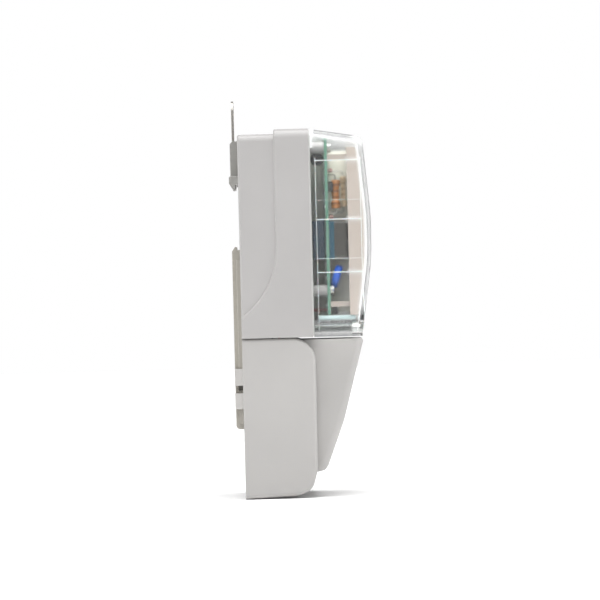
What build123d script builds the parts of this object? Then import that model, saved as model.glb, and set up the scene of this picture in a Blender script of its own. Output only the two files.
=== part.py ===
"""A single-phase electricity meter for a top-hat rail or a wall.

Depths run forwards from the flat of the back, heights up from the foot, and x to the
right as the meter is read. The saved pieces are lowered so that the origin lies on the
back, on the centre line of the rail.
"""

from build123d import *
import os
from math import cos, radians, sin

os.makedirs("parts", exist_ok=True)

# ---- Driving dimensions, in millimetres -------------------------------------------------

# Body
HALF_WIDTH = 61.0
HEIGHT = 200.0
SEAM = 87.0  # height of the joint between housing and terminal cover
BASE_DEPTH = 38.7
BASE_WALL = 3.0
STEP_DEPTH = 19.8  # the front of the housing stands proud from here forwards
STEP_HEIGHT = 136.0  # below this the step line curves to the back edge
STEP_RADIUS = 46.0
STEP_TOP = 2.5
STEP_SIDE = 1.0
CORNER = 4.0
CAVITY_HALF = 57.6
CAVITY_LOW = 90.0
CAVITY_HIGH = 194.8
REAR_LOW = 12.0  # foot of the back wall that runs down behind the terminals
CLAWS = [(48.2, 56.8), (61.0, 70.3)]  # low and high of the claws that hold the latch
HOOKS = [-34.0, 18.0]  # left sides of the two fixed rail hooks
HOOK_WIDTH = 16.0
FIT_GAP = 0.3  # between pieces that slide past each other

# Top-hat rail
RAIL_CENTRE = 153.4
RAIL_WIDTH = 35.0
RAIL_FLANGE = 1.0

# Clear cover and its seal
SEAL_THICK = 0.7
COVER_BACK = BASE_DEPTH + SEAL_THICK
COVER_HALF = 60.3
COVER_WALL = 2.5
COVER_SCREW_X = 52.0
COVER_SCREW_HEIGHT = 91.5
COVER_TUBE_RADIUS = 4.4
COVER_SEAT = 60.0  # the depth that the heads of the cover screws sit on
COVER_RIBS = [182.5, 150.5, 121.8]

# Terminal cover
BOX_HALF = 58.3  # half the inside width
NOSE_HALF = 51.0
NOSE_WALL = 2.2
CAP_SCREW_HEIGHT = 58.0
CAP_SEAT = 52.5
ENTRY_HALF = 6.0  # half the width of each rounded cable entry
ENTRY_DEPTH = 22.0
PULSE_ENTRY = (46.0, 54.0, 19.0)  # left, right and front of the pulse wires' entry

# Circuit board
BOARD_BACK = 47.0
BOARD_FRONT = 48.6
BOARD_HALF = 52.0
BOARD_LOW = 98.7
BOARD_HIGH = 194.7
BOARD_POSTS = [(-48.0, 112.0), (48.0, 112.0), (-48.0, 189.5), (48.0, 189.5)]

# Terminals
TERMINALS = [-35.0, -15.0, 15.0, 35.0]
WIRE_DEPTH = 20.0
WIRE_RADIUS = 4.25
BRASS_HALF = 6.0
BRASS_LOW = 34.0
BRASS_HIGH = 76.0
BORE_LENGTH = 32.0
CLAMP_HEIGHTS = [50.0, 61.0]
BLOCK_HALF = 45.0
BLOCK_FRONT = 44.0
FIXING_X = 51.5
FIXING_HEIGHT = 30.0
FIXING_RADIUS = 2.6
BLOCK_SCREW_X = 25.0
BLOCK_SCREW_HEIGHT = 40.0
BRASS_BACK = 14.0
BRASS_FRONT = 26.0
LINK_TOP = BRASS_HIGH + 1.6
TAB_HEIGHT = 2.0
SHUNT_TABS = [-28.6, -21.4]
NEUTRAL_TAB = 25.0
LEAD_TURN = 101.5  # where the leads turn forwards to the board
PULSE_WIRES = [48.0, 52.0]
PULSE_DEPTH = 16.0
PULSE_LOW = 58.0
PULSE_HIGH = 76.0
PULSE_SCREW_HEIGHT = 64.0

# Front panel and pulse light
PANEL_HALF = 55.5
PANEL_WALL = 1.6
PANEL_BACK = 59.0
PANEL_LEG_X = 50.8
PANEL_LEGS = [104.5, 184.4]
REGISTER_WINDOW = (-21.9, 21.2, 134.2, 143.0)  # left, right, low, high
LED_X = 36.0
LED_HEIGHT = 172.0
LED_RADIUS = 1.5

# Register
DRUMS = 6
DRUM_PITCH = 7.0
DRUM_RADIUS = 6.2
DRUM_RIM = 4.4
DRUM_DEPTH = 58.6
DRUM_HEIGHT = 138.6
SHAFT_RADIUS = 1.0
PIVOT_RADIUS = 0.6
RUNNING = 0.05  # radial clearance of a shaft in its hole
GEAR_MODULE = 0.5
DRUM_TEETH = 20
PINION_TEETH = 8
IDLER_TEETH = 16
PINION_ANGLE = 120.0  # from the drums' axis to the pinions', up from straight forwards
ROTOR_ANGLE = 260.0
FRAME_LEFT = -25.5
FRAME_RIGHT = 44.0
FRAME_LOW = 130.0
FRAME_HIGH = 149.0
FRAME_BACK = 51.4
FRAME_FRONT = 65.9
FRAME_WALL = 1.2
PARTITION = 23.0
SIDE_GEAR = 1.15  # width of a drum's gear, and of its carry disc
STATOR_LEFT = 35.0
STATOR_RIGHT = 37.6

# Pieces behind the back
GUIDE_LOW = 176.0
GUIDE_HIGH = 195.3
GUIDE_BACK = 4.5
HANGER_BACK = 3.3
HANGER_THICK = 1.2
HANGER_HALF = 11.0
HANGER_HOLE = 2.75
HANGER_HOLE_HEIGHT = 210.5
LATCH_BACK = 4.7
LATCH_RIB = 12.0
LATCH_FLANGE = 15.6
LATCH_LOW = 37.0
WINDOW_LOW = 85.0
WINDOW_HIGH = 112.0
STOP_HIGH = 89.7
STRIP_BACK = 3.4  # the latch's spring strip, behind the flat of the back
STRIP_FRONT = 0.7
STRIP_THICK = 0.7
STRIP_HALF = 6.0
STRIP_FOLDS = 5

# ---- Shared shapes ----------------------------------------------------------------------

SIDE = Plane((0, 0, 0), x_dir=(0, -1, 0), z_dir=(-1, 0, 0))  # (depth, height)
FRONT = Plane.XZ  # (x, height)


def outline(points):
    """A closed face. A third number on a point is the radius of its corner."""
    corners = [(point[0], point[1]) for point in points]
    radii = [point[2] if len(point) > 2 else 0 for point in points]
    return make_face(FilletPolyline(*corners, radius=radii, close=True))


def across(points, half_width, x=0):
    """Extrude a (depth, height) outline evenly to both sides of x."""
    return Pos(x, 0, 0) * extrude(SIDE * outline(points), amount=half_width, both=True)


def forwards(points, back, front):
    """Extrude an (x, height) outline from one depth to another."""
    return Pos(0, -back, 0) * extrude(FRONT * outline(points), amount=front - back)


def block(x0, x1, back, front, low, high):
    middle = Pos((x0 + x1) / 2, -(back + front) / 2, (low + high) / 2)
    return middle * Box(x1 - x0, front - back, high - low)


def rod_across(radius, x0, x1, depth, height):
    return Pos((x0 + x1) / 2, -depth, height) * Rot(0, 90, 0) * Cylinder(radius, x1 - x0)


def rod_forwards(radius, back, front, x, height):
    return Pos(x, -(back + front) / 2, height) * Rot(90, 0, 0) * Cylinder(radius, front - back)


def rod_upright(radius, low, high, x, depth):
    return Pos(x, -depth, (low + high) / 2) * Cylinder(radius, high - low)


def wire(radius, bend, *places):
    """A round wire through (x, depth, height) places, with rounded turns."""
    points = [(x, -depth, height) for x, depth, height in places]
    path = FilletPolyline(*points, radius=bend)
    start = Plane(path @ 0, z_dir=path % 0)
    return sweep(start * Circle(radius), path=path)


def gear(teeth, tooth_angle, x0, x1, depth, height):
    """A spur gear across the meter, with one tooth pointing along tooth_angle."""
    pitch_radius = teeth * GEAR_MODULE / 2
    root = pitch_radius - 1.15 * GEAR_MODULE
    tip = pitch_radius + 0.75 * GEAR_MODULE
    tooth = 360 / teeth
    points = []
    for number in range(teeth):
        middle = tooth_angle + number * tooth
        for radius, offset in [(root, -0.27), (tip, -0.1), (tip, 0.1), (root, 0.27)]:
            angle = radians(middle + offset * tooth)
            points.append((depth + radius * cos(angle), height + radius * sin(angle)))
    face = SIDE * make_face(Polyline(*points, close=True))
    return Pos((x0 + x1) / 2, 0, 0) * extrude(face, amount=(x1 - x0) / 2, both=True)


def place_from(depth, height, distance, angle):
    """The (depth, height) at a distance and angle from another place."""
    turned = radians(angle)
    return depth + distance * cos(turned), height + distance * sin(turned)


def together(pieces):
    """Several separate solids kept in one node."""
    return Compound([solid for piece in pieces for solid in piece.solids()])


def write(name, shape):
    export_step(Pos(0, 0, -RAIL_CENTRE) * shape, f"parts/{name}.step")


# ---- Housing ----------------------------------------------------------------------------


def housing_shell():
    """The tub: a body, and a proud front whose back edge sweeps down to the rear."""
    side = HALF_WIDTH - STEP_SIDE
    top = HEIGHT - STEP_TOP
    body = forwards(
        [(-side, SEAM), (side, SEAM), (side, top, CORNER), (-side, top, CORNER)], 0, BASE_DEPTH
    )
    back_edges = body.edges().filter_by(lambda edge: abs(edge.center().Y) < 0.01)
    body = fillet(back_edges.filter_by(lambda edge: edge.center().Z > SEAM + 1), 1.2)
    proud = forwards(
        [
            (-HALF_WIDTH, SEAM),
            (HALF_WIDTH, SEAM),
            (HALF_WIDTH, HEIGHT, CORNER + 1),
            (-HALF_WIDTH, HEIGHT, CORNER + 1),
        ],
        0,
        BASE_DEPTH,
    )
    behind_step = block(-65, 65, -1, STEP_DEPTH, STEP_HEIGHT, HEIGHT + 1)
    curve = rod_across(STEP_RADIUS, -65, 65, STEP_DEPTH - STEP_RADIUS, STEP_HEIGHT)
    proud = proud - behind_step - curve
    lip = proud.edges().filter_by(
        lambda edge: edge.center().Z > SEAM + 5
        and abs(edge.center().X) > HALF_WIDTH - CORNER - 2
        and -STEP_DEPTH - 0.01 < edge.center().Y < -0.5
        and edge.length > 20
    )
    proud = fillet(lip, 0.8)
    inside = forwards(
        [
            (-CAVITY_HALF, CAVITY_LOW, 2),
            (CAVITY_HALF, CAVITY_LOW, 2),
            (CAVITY_HALF, CAVITY_HIGH, 2.5),
            (-CAVITY_HALF, CAVITY_HIGH, 2.5),
        ],
        BASE_WALL,
        BASE_DEPTH + 1,
    )
    return body + proud - inside


def rail_hook(x0, x1):
    """A fixed hook whose lip hangs down behind the rail's upper flange."""
    top = RAIL_CENTRE + RAIL_WIDTH / 2
    lip = -RAIL_FLANGE - 0.7
    return across(
        [
            (0.5, top),
            (lip, top),
            (lip - 0.3, top - 2.1),
            (-3.4, top - 2.3, 0.4),
            (-5.2, top + 0.8, 0.6),
            (-5.2, top + 4.7, 1.0),
            (0.5, top + 4.7),
        ],
        (x1 - x0) / 2,
        (x0 + x1) / 2,
    )


def latch_claw(side, low, high):
    """An L-shaped claw that holds one flange of the latch against the back."""
    wall_in = LATCH_FLANGE + FIT_GAP
    wall_out = wall_in + 2.6
    lip_in = LATCH_RIB + FIT_GAP
    wall = block(wall_in, wall_out, -4.9, 0.5, low, high)
    lip = block(lip_in, wall_out, -4.9, -2.8, low, high)
    claw = wall + lip
    return claw if side > 0 else mirror(claw, about=Plane.YZ)


def hanger_guide():
    slot_back = -HANGER_BACK - 0.1
    slot_front = -HANGER_BACK + HANGER_THICK + 0.1
    guide = across(
        [
            (0.5, GUIDE_LOW),
            (-GUIDE_BACK, GUIDE_LOW),
            (-GUIDE_BACK, GUIDE_HIGH - 1.6),
            (-GUIDE_BACK + 1.6, GUIDE_HIGH),
            (0.5, GUIDE_HIGH),
        ],
        16,
    )
    half = HANGER_HALF + 0.15
    return guide - block(-half, half, slot_back, slot_front, GUIDE_LOW - 1, GUIDE_HIGH + 1)


def base_housing():
    base = housing_shell()
    base += block(-CAVITY_HALF, CAVITY_HALF, 0, BASE_WALL, REAR_LOW, SEAM + 1)
    for x, height in BOARD_POSTS:
        base += rod_forwards(3.2, 2, BOARD_BACK, x, height)
        base -= rod_forwards(1.3, 36, BOARD_BACK + 1, x, height)
    for x in (-COVER_SCREW_X, COVER_SCREW_X):
        base += rod_forwards(4.0, 22, BASE_DEPTH, x, COVER_SCREW_HEIGHT)
        base -= rod_forwards(1.5, 24, BASE_DEPTH + 1, x, COVER_SCREW_HEIGHT)
    # Keep the two screw posts clear of the joint with the terminal cover
    base -= block(-60, 60, BASE_WALL, BASE_DEPTH + 1, 80, SEAM)
    for x in (-FIXING_X, FIXING_X):
        base -= rod_forwards(FIXING_RADIUS, -1, BASE_WALL + 1, x, FIXING_HEIGHT)
    for x in (-BLOCK_SCREW_X, BLOCK_SCREW_X):
        base -= rod_forwards(1.4, 0.8, BASE_WALL + 1, x, BLOCK_SCREW_HEIGHT)
    # Ways through the floor for the leads
    base -= block(-30, 30, 15, 25, SEAM - 1, 91)
    base -= block(45.5, 54, 13, 19, SEAM - 1, 91)
    base += hanger_guide()
    for x in HOOKS:
        base += rail_hook(x, x + HOOK_WIDTH)
    for side in (-1, 1):
        for low, high in CLAWS:
            base += latch_claw(side, low, high)
    base += block(-4, 4, -3.6, 0.5, WINDOW_LOW + FIT_GAP, STOP_HIGH)
    return base


# ---- Hanger and latch -------------------------------------------------------------------


def hanger():
    """A steel strap with a round-cornered head, and two ears that stop it in the guide."""
    ears_high = GUIDE_LOW - FIT_GAP
    strip = forwards(
        [
            (-13.2, 171.4, 1),
            (13.2, 171.4, 1),
            (13.2, ears_high, 0.5),
            (HANGER_HALF, ears_high),
            (HANGER_HALF, 217.4, 6),
            (-HANGER_HALF, 217.4, 6),
            (-HANGER_HALF, ears_high),
            (-13.2, ears_high, 0.5),
        ],
        -HANGER_BACK,
        -HANGER_BACK + HANGER_THICK,
    )
    hole = rod_forwards(HANGER_HOLE, -6, 0, 0, HANGER_HOLE_HEIGHT)
    window = forwards(
        [(-3, 182, 2.5), (3, 182, 2.5), (3, 200, 2.5), (-3, 200, 2.5)], -6, 0
    )
    return strip - hole - window


def din_latch():
    """The rail slider: a rib with two guided flanges and a nose behind the lower flange."""
    low_edge = RAIL_CENTRE - RAIL_WIDTH / 2
    nose_front = -RAIL_FLANGE - 0.7
    rib = across(
        [
            (-FIT_GAP, LATCH_LOW),
            (-FIT_GAP, low_edge - 0.4),
            (nose_front, low_edge - 0.4),
            (nose_front - 0.3, low_edge + 1.2),
            (-3.0, low_edge + 1.4, 0.4),
            (-LATCH_BACK, low_edge - 1.2, 1.5),
            (-LATCH_BACK, LATCH_LOW, 2.2),
        ],
        LATCH_RIB,
    )
    flanges = block(-LATCH_FLANGE, LATCH_FLANGE, -2.4, -FIT_GAP, 40, 130)
    window = block(-8, 8, -6, 1, WINDOW_LOW, WINDOW_HIGH)
    pull = block(-4, 4, -6, 1, 41.5, 45)
    return rib + flanges - window - pull


def latch_spring():
    """A folded strip that pushes the latch up from the stop on the housing."""

    def strip(x0, x1, low, high):
        return block(min(x0, x1), max(x0, x1), -STRIP_BACK, -STRIP_FRONT, low, high)

    rise = (WINDOW_HIGH - STOP_HIGH) / (STRIP_FOLDS + 1)
    spring = strip(-STRIP_HALF, STRIP_HALF, STOP_HIGH, STOP_HIGH + STRIP_THICK)
    for fold in range(STRIP_FOLDS):
        foot = STOP_HIGH + fold * rise
        top = foot + rise + STRIP_THICK
        side = 1 if fold % 2 else -1
        spring += strip(side * STRIP_HALF, side * (STRIP_HALF - STRIP_THICK), foot, top)
        spring += strip(-STRIP_HALF, STRIP_HALF, foot + rise, top)
    return spring + strip(-1, 1, STOP_HIGH + STRIP_FOLDS * rise, WINDOW_HIGH)


# ---- Clear cover ------------------------------------------------------------------------


def cover_shape(inset, back, bottom):
    """The bulging side outline of the cover, moved in by a wall thickness."""
    return [
        (back, bottom),
        (back, 199.6 - inset),
        (67.7 - inset, 195.0 - inset, 5.0 - inset * 0.8),
        (71.5 - inset, 152.0, 150.0),
        (71.3 - inset, 128.0, 120.0),
        (65.4 - inset, bottom),
    ]


def round_front(shape, half_width, radius):
    """Round the long edges where the sides meet the bulging front and the top."""
    edges = shape.edges().filter_by(
        lambda edge: abs(abs(edge.center().X) - half_width) < 0.01
        and edge.center().Z > SEAM + 4
        and edge.center().Y < -COVER_BACK - 1
    )
    return fillet(edges, radius)


def clear_cover():
    outer = across(cover_shape(0, COVER_BACK, SEAM), COVER_HALF)
    outer = round_front(outer, COVER_HALF, 3.0)
    inner_half = COVER_HALF - COVER_WALL
    inner = across(cover_shape(COVER_WALL, COVER_BACK - 1, SEAM + COVER_WALL), inner_half)
    inner = round_front(inner, inner_half, 0.8)
    cover = outer - inner
    # Moulded steps across the inside of both side walls
    for height in COVER_RIBS:
        for side in (-1, 1):
            x = side * (inner_half - 0.3)
            cover += block(x - 0.4, x + 0.4, 41.2, 66, height - 0.35, height + 0.35)
    for side in (-1, 1):
        x = side * COVER_SCREW_X
        cover += rod_forwards(COVER_TUBE_RADIUS, COVER_BACK, 65.0, x, COVER_SCREW_HEIGHT)
    cover &= outer
    for side in (-1, 1):
        x = side * COVER_SCREW_X
        cover -= rod_forwards(1.8, COVER_BACK - 1, 70, x, COVER_SCREW_HEIGHT)
        cover -= rod_forwards(3.3, COVER_SEAT, 70, x, COVER_SCREW_HEIGHT)
    return cover


def cover_gasket():
    ring = forwards([(-60, 87.7, 1), (60, 87.7, 1), (60, 198.9, 4), (-60, 198.9, 4)],
                    BASE_DEPTH, COVER_BACK)
    hole = forwards([(-58, 89.4, 1), (58, 89.4, 1), (58, 197, 2), (-58, 197, 2)],
                    BASE_DEPTH - 1, COVER_BACK + 1)
    return ring - hole


def screw(head_radius, head_height, shank_radius, tip, seat, x, height):
    """A slotted cheese-head screw pointing backwards, its head on the seat depth."""
    body = rod_forwards(head_radius, seat, seat + head_height, x, height)
    body += rod_forwards(shank_radius, tip, seat, x, height)
    slot_depth = head_height * 0.4
    half = head_radius + 1
    slot = block(x - half, x + half, seat + head_height - slot_depth, seat + head_height + 1,
                 height - head_radius * 0.14, height + head_radius * 0.14)
    return body - slot


def cover_screws():
    screws = []
    for side in (-1, 1):
        x = side * COVER_SCREW_X
        sealed = screw(3.0, 3.6, 1.45, 26, COVER_SEAT, x, COVER_SCREW_HEIGHT)
        screws.append(sealed - rod_upright(0.7, 80, 100, x, COVER_SEAT + 1.2))
    return together(screws)


# ---- Terminal cover ---------------------------------------------------------------------


def terminal_cover():
    top = SEAM - FIT_GAP
    sides = forwards(
        [
            (-60.6, -1),
            (60.6, -1),
            (HALF_WIDTH, 67.4),
            (60.2, top),
            (-60.2, top),
            (-HALF_WIDTH, 67.4),
        ],
        -1,
        80,
    )
    box_outer = across(
        [(0, 0), (28.8, 1.3, 9), (36.6, 4.5, 8), (39.3, 15, 12), (39.6, top, 12.6), (0, top)],
        HALF_WIDTH + 1,
    )
    box_outer &= sides
    front_rim = box_outer.edges().filter_by(
        lambda edge: abs(edge.center().X) > 59.5
        and edge.center().Y < -33
        and 12 < edge.center().Z < 82
    )
    box_outer = fillet(front_rim, 2.0)
    box_inner = across(
        [(-1, 2.4), (28, 3.6, 8), (34.6, 6.6, 7), (37.0, 16, 10), (37.3, top + 1, 11), (-1, top + 1)],
        BOX_HALF,
    )
    nose_outer = across(
        [
            (26, 13),
            (38.8, 13.6),
            (43.4, 14.6),
            (45.2, 17.0),
            (54.4, 41.5, 25),
            (65.8, 84.4),
            (65.2, 85.7),
            (26, 85.7),
        ],
        NOSE_HALF,
    )
    nose_rim = nose_outer.edges().filter_by(
        lambda edge: abs(abs(edge.center().X) - NOSE_HALF) < 0.01
        and edge.center().Y < -44.2
        and 17 < edge.center().Z < 84
    )
    nose_outer = fillet(nose_rim, 4.0)
    nose_inner = across(
        [
            (10, 15.8),
            (37.5, 15.8),
            (43.0, 17.2, 1.5),
            (52.1, 42.0, 23),
            (63.2, 83.5),
            (10, 83.5),
        ],
        NOSE_HALF - NOSE_WALL,
    )
    cover = box_outer - box_inner + nose_outer - nose_inner
    # A tube behind the nose's face takes the sealing screw
    tube = rod_forwards(5.2, 46, 60, 0, CAP_SCREW_HEIGHT)
    cover += tube & nose_outer
    cover -= rod_forwards(2.4, 40, 62, 0, CAP_SCREW_HEIGHT)
    cover -= rod_forwards(4.1, CAP_SEAT, 66, 0, CAP_SCREW_HEIGHT)
    for x in TERMINALS:
        cover -= block(x - ENTRY_HALF, x + ENTRY_HALF, -1, ENTRY_DEPTH, -1, 8)
        cover -= rod_upright(ENTRY_HALF, -1, 8, x, ENTRY_DEPTH)
    pulse_left, pulse_right, pulse_front = PULSE_ENTRY
    cover -= block(pulse_left, pulse_right, -1, pulse_front, -1, 8)
    return cover


def terminal_cover_screw():
    sealed = screw(3.8, 3.8, 2.0, 33, CAP_SEAT, 0, CAP_SCREW_HEIGHT)
    return sealed - rod_upright(0.8, 50, 66, 0, CAP_SEAT + 1.3)


# ---- Terminals --------------------------------------------------------------------------


def terminal_block():
    side = [(BASE_WALL, 30), (36, 30), (BLOCK_FRONT, 44), (BLOCK_FRONT, 82), (BASE_WALL, 82)]
    solid = across(side, BLOCK_HALF)
    solid -= block(-42, 42, 12, 28, BRASS_HIGH, 83)
    for x in TERMINALS:
        solid -= block(x - BRASS_HALF, x + BRASS_HALF, BRASS_BACK, BRASS_FRONT, BRASS_LOW, BRASS_HIGH + 1)
        solid -= rod_upright(5, 29, BRASS_LOW + 1, x, WIRE_DEPTH)
        for height in CLAMP_HEIGHTS:
            solid -= rod_forwards(3.0, 25, BLOCK_FRONT + 1, x, height)
    for x in (-BLOCK_SCREW_X, BLOCK_SCREW_X):
        solid -= rod_forwards(1.7, 2, BLOCK_FRONT + 1, x, BLOCK_SCREW_HEIGHT)
        solid -= rod_forwards(3.3, 14, BLOCK_FRONT + 1, x, BLOCK_SCREW_HEIGHT)
    solid -= rod_forwards(2.05, 31, BLOCK_FRONT + 1, 0, CAP_SCREW_HEIGHT)
    return solid


def brass_terminals():
    bars = []
    for x in TERMINALS:
        bar = block(x - BRASS_HALF, x + BRASS_HALF, BRASS_BACK, BRASS_FRONT, BRASS_LOW, BRASS_HIGH)
        bar -= rod_upright(WIRE_RADIUS, BRASS_LOW - 1, BRASS_LOW + BORE_LENGTH, x, WIRE_DEPTH)
        for height in CLAMP_HEIGHTS:
            bar -= rod_forwards(2.5, WIRE_DEPTH, 27, x, height)
        bars.append(bar)
    return together(bars)


def terminal_screws():
    return together(
        screw(2.85, 5, 2.45, 24.9, 31, x, height) for x in TERMINALS for height in CLAMP_HEIGHTS
    )


def block_screws():
    return together(
        screw(3.0, 2.4, 1.35, 1.0, 14, x, BLOCK_SCREW_HEIGHT)
        for x in (-BLOCK_SCREW_X, BLOCK_SCREW_X)
    )


def shunt():
    """Copper ends joined by a narrower resistive strip, with two sense tabs."""
    link = block(-41, -28, BRASS_BACK, BRASS_FRONT, BRASS_HIGH, LINK_TOP)
    link += block(-22, -9, BRASS_BACK, BRASS_FRONT, BRASS_HIGH, LINK_TOP)
    link += block(-28, -22, 16.5, 23.5, BRASS_HIGH, LINK_TOP)
    for x in SHUNT_TABS:
        link += block(x - 0.6, x + 0.6, 18, 22, LINK_TOP, LINK_TOP + TAB_HEIGHT)
    return link


def neutral_link():
    link = block(9, 41, BRASS_BACK, BRASS_FRONT, BRASS_HIGH, LINK_TOP)
    tab = block(NEUTRAL_TAB - 0.6, NEUTRAL_TAB + 0.6, 18, 22, LINK_TOP, LINK_TOP + TAB_HEIGHT)
    return link + tab


def board_lead(x, low, depth, radius):
    """A lead that rises into the housing and turns forwards to the board's back."""
    return wire(radius, 9, (x, depth, low), (x, depth, LEAD_TURN), (x, BOARD_BACK, LEAD_TURN))


def shunt_leads():
    return together(board_lead(x, LINK_TOP + TAB_HEIGHT, WIRE_DEPTH, 0.7) for x in SHUNT_TABS)


def neutral_lead():
    return board_lead(NEUTRAL_TAB, LINK_TOP + TAB_HEIGHT, WIRE_DEPTH, 0.7)


def pulse_terminal():
    body = block(BLOCK_HALF, 55, 8, 24, PULSE_LOW, PULSE_HIGH)
    for x in PULSE_WIRES:
        body -= rod_upright(1.3, PULSE_LOW - 1, PULSE_LOW + 10, x, PULSE_DEPTH)
        body -= rod_forwards(1.5, PULSE_DEPTH, 25, x, PULSE_SCREW_HEIGHT)
    return body


def pulse_terminal_screws():
    return together(screw(1.45, 2, 1.0, 18, 20, x, PULSE_SCREW_HEIGHT) for x in PULSE_WIRES)


def pulse_leads():
    return together(board_lead(x, PULSE_HIGH, PULSE_DEPTH, 0.5) for x in PULSE_WIRES)


# ---- Circuit board ----------------------------------------------------------------------


def pcb():
    board = block(-BOARD_HALF, BOARD_HALF, BOARD_BACK, BOARD_FRONT, BOARD_LOW, BOARD_HIGH)
    for x, height in BOARD_POSTS:
        board -= rod_forwards(1.7, BOARD_BACK - 1, BOARD_FRONT + 1, x, height)
    return board


def pcb_screws():
    return together(screw(2.6, 2, 1.25, 38, BOARD_FRONT, x, height) for x, height in BOARD_POSTS)


def upright_resistor(x, depth, low, high, end_radius, waist_radius):
    """A dumb-bell resistor standing parallel to the board on two bent leads."""
    middle = (low + high) / 2
    end = (high - low) * 0.24
    body = rod_upright(waist_radius, low + 0.5, high - 0.5, x, depth)
    for start in (low, high - end):
        bead = rod_upright(end_radius, start, start + end, x, depth)
        body += fillet(bead.edges().filter_by(GeomType.CIRCLE), end_radius * 0.3)
    for start, way in ((low + 0.5, -1), (high - 0.5, 1)):
        body += wire(0.35, 1.2, (x, depth, start), (x, depth, start + way * 3.4),
                     (x, BOARD_FRONT, start + way * 3.4))
    return body


def dropper_resistor():
    return upright_resistor(-44, 52.7, 156.5, 172.0, 2.6, 2.15)


def bleed_resistor():
    return upright_resistor(-33, 57.0, 157.5, 174.0, 1.8, 1.45)


def film_resistors():
    """Small resistors lying across the board."""
    pieces = []
    for x, height in ((-45, 177.2), (-45, 151.9), (-20, 166.0), (24, 158.0), (38, 120.0)):
        body = rod_across(1.15, x - 3.2, x + 3.2, 50.2, height)
        body = fillet(body.edges().filter_by(GeomType.CIRCLE), 0.4)
        for side in (-1, 1):
            start = x + side * 3
            body += wire(0.3, 0.8, (start, 50.2, height), (start + side * 1.8, 50.2, height),
                         (start + side * 1.8, BOARD_FRONT, height))
        pieces.append(body)
    return together(pieces)


def rectifier():
    return block(-51.4, -47, BOARD_FRONT, 51.4, 165.8, 171)


def film_capacitor():
    """A boxed capacitor behind the board, standing on two pins."""
    case = block(-50, -24, 39.6, 46.4, 128.6, 150)
    case = fillet(case.edges(), 0.8)
    for x in (-48, -26):
        case += rod_forwards(0.4, 45, BOARD_BACK, x, 131)
    return case


def reservoir_capacitor():
    can = rod_across(3.6, -44, -32, 43.1, 183.6)
    can = fillet(can.edges().filter_by(GeomType.CIRCLE), 0.5)
    for height in (182.4, 184.8):
        can += wire(0.3, 0.7, (-32.5, 43.1, height), (-30.4, 43.1, height),
                    (-30.4, BOARD_BACK, height))
    return can


def varistor():
    """A coated disc on two leads, leaning forwards at its top."""
    disc = Rot(90, 0, 0) * Cylinder(6.3, 4.2)
    disc = fillet(disc.edges().filter_by(GeomType.CIRCLE), 1.6)
    disc = Pos(-41, -52.2, 119.6) * Rot(18, 0, 0) * disc
    for x in (-43.5, -38.5):
        disc += wire(0.35, 1.0, (x, 50.9, 115.6), (x, 50.2, 111.6), (x, BOARD_FRONT, 111.6))
    return disc


def optocoupler():
    body = block(-47, -39, BOARD_FRONT + 0.5, 52.6, 99.0, 104.4)
    for x in (-44.3, -41.7):
        for height in (99.4, 104.0):
            body += block(x - 0.3, x + 0.3, BOARD_FRONT, 50.6, height - 0.5, height + 0.5)
    return body


def metering_chips():
    chips = []
    packages = ((-2, 166, 5, 3.8), (10, 116, 3, 2.5), (-18, 112, 2.5, 2))
    for x, height, half_x, half_height in packages:
        chips.append(
            block(x - half_x, x + half_x, BOARD_FRONT, 50.3,
                  height - half_height, height + half_height)
        )
    return together(chips)


def crystal():
    round_ended = [(10, 164, 2.2), (20, 164, 2.2), (20, 168.5, 2.2), (10, 168.5, 2.2)]
    return forwards(round_ended, BOARD_FRONT, 52)


def led_holder():
    tube = rod_forwards(2.6, BOARD_FRONT, 60, LED_X, LED_HEIGHT)
    return tube - rod_forwards(LED_RADIUS, BOARD_FRONT + 2, 61, LED_X, LED_HEIGHT)


def pulse_led():
    body = rod_forwards(LED_RADIUS, BOARD_FRONT + 2, 65, LED_X, LED_HEIGHT)
    dome = Pos(LED_X, -65, LED_HEIGHT) * Sphere(LED_RADIUS)
    return body + dome


# ---- Front panel ------------------------------------------------------------------------


def panel_shape(inset, back):
    return [
        (back, 98.5 + inset),
        (back, 189.5 - inset),
        (64.3 - inset, 189.5 - inset, 2.0),
        (67.9 - inset, 151.7, 140.0),
        (67.7 - inset, 128.5, 110.0),
        (63.5 - inset, 98.5 + inset),
    ]


def front_panel():
    """A bowed nameplate carrier with side flanges, on four legs from the board."""
    panel = across(panel_shape(0, PANEL_BACK), PANEL_HALF)
    panel -= across(panel_shape(PANEL_WALL, PANEL_BACK - 1), PANEL_HALF - PANEL_WALL)
    left, right, low, high = REGISTER_WINDOW
    panel -= block(left, right, 60, 72, low, high)
    panel -= rod_forwards(LED_RADIUS + 0.3, 60, 72, LED_X, LED_HEIGHT)
    for x in (-PANEL_LEG_X, PANEL_LEG_X):
        for height in PANEL_LEGS:
            panel += block(x - 1.5, x + 1.5, BOARD_FRONT, 62, height - 1.4, height + 1.4)
            panel += block(x - 3.4, x + 3.4, 60, 62, height - 1.4, height + 1.4)
    return panel


# ---- Register ---------------------------------------------------------------------------

MESH_DISTANCE = GEAR_MODULE * (DRUM_TEETH + PINION_TEETH) / 2
PINION_DEPTH, PINION_HEIGHT = place_from(DRUM_DEPTH, DRUM_HEIGHT, MESH_DISTANCE, PINION_ANGLE)
ROTOR_DISTANCE = GEAR_MODULE * (IDLER_TEETH + PINION_TEETH) / 2
ROTOR_DEPTH, ROTOR_HEIGHT = place_from(PINION_DEPTH, PINION_HEIGHT, ROTOR_DISTANCE, ROTOR_ANGLE)


def drum_x(number):
    """The middle of a drum's rim. Drum 1 counts units and is the rightmost."""
    return (DRUMS / 2 + 0.5 - number) * DRUM_PITCH


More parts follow.
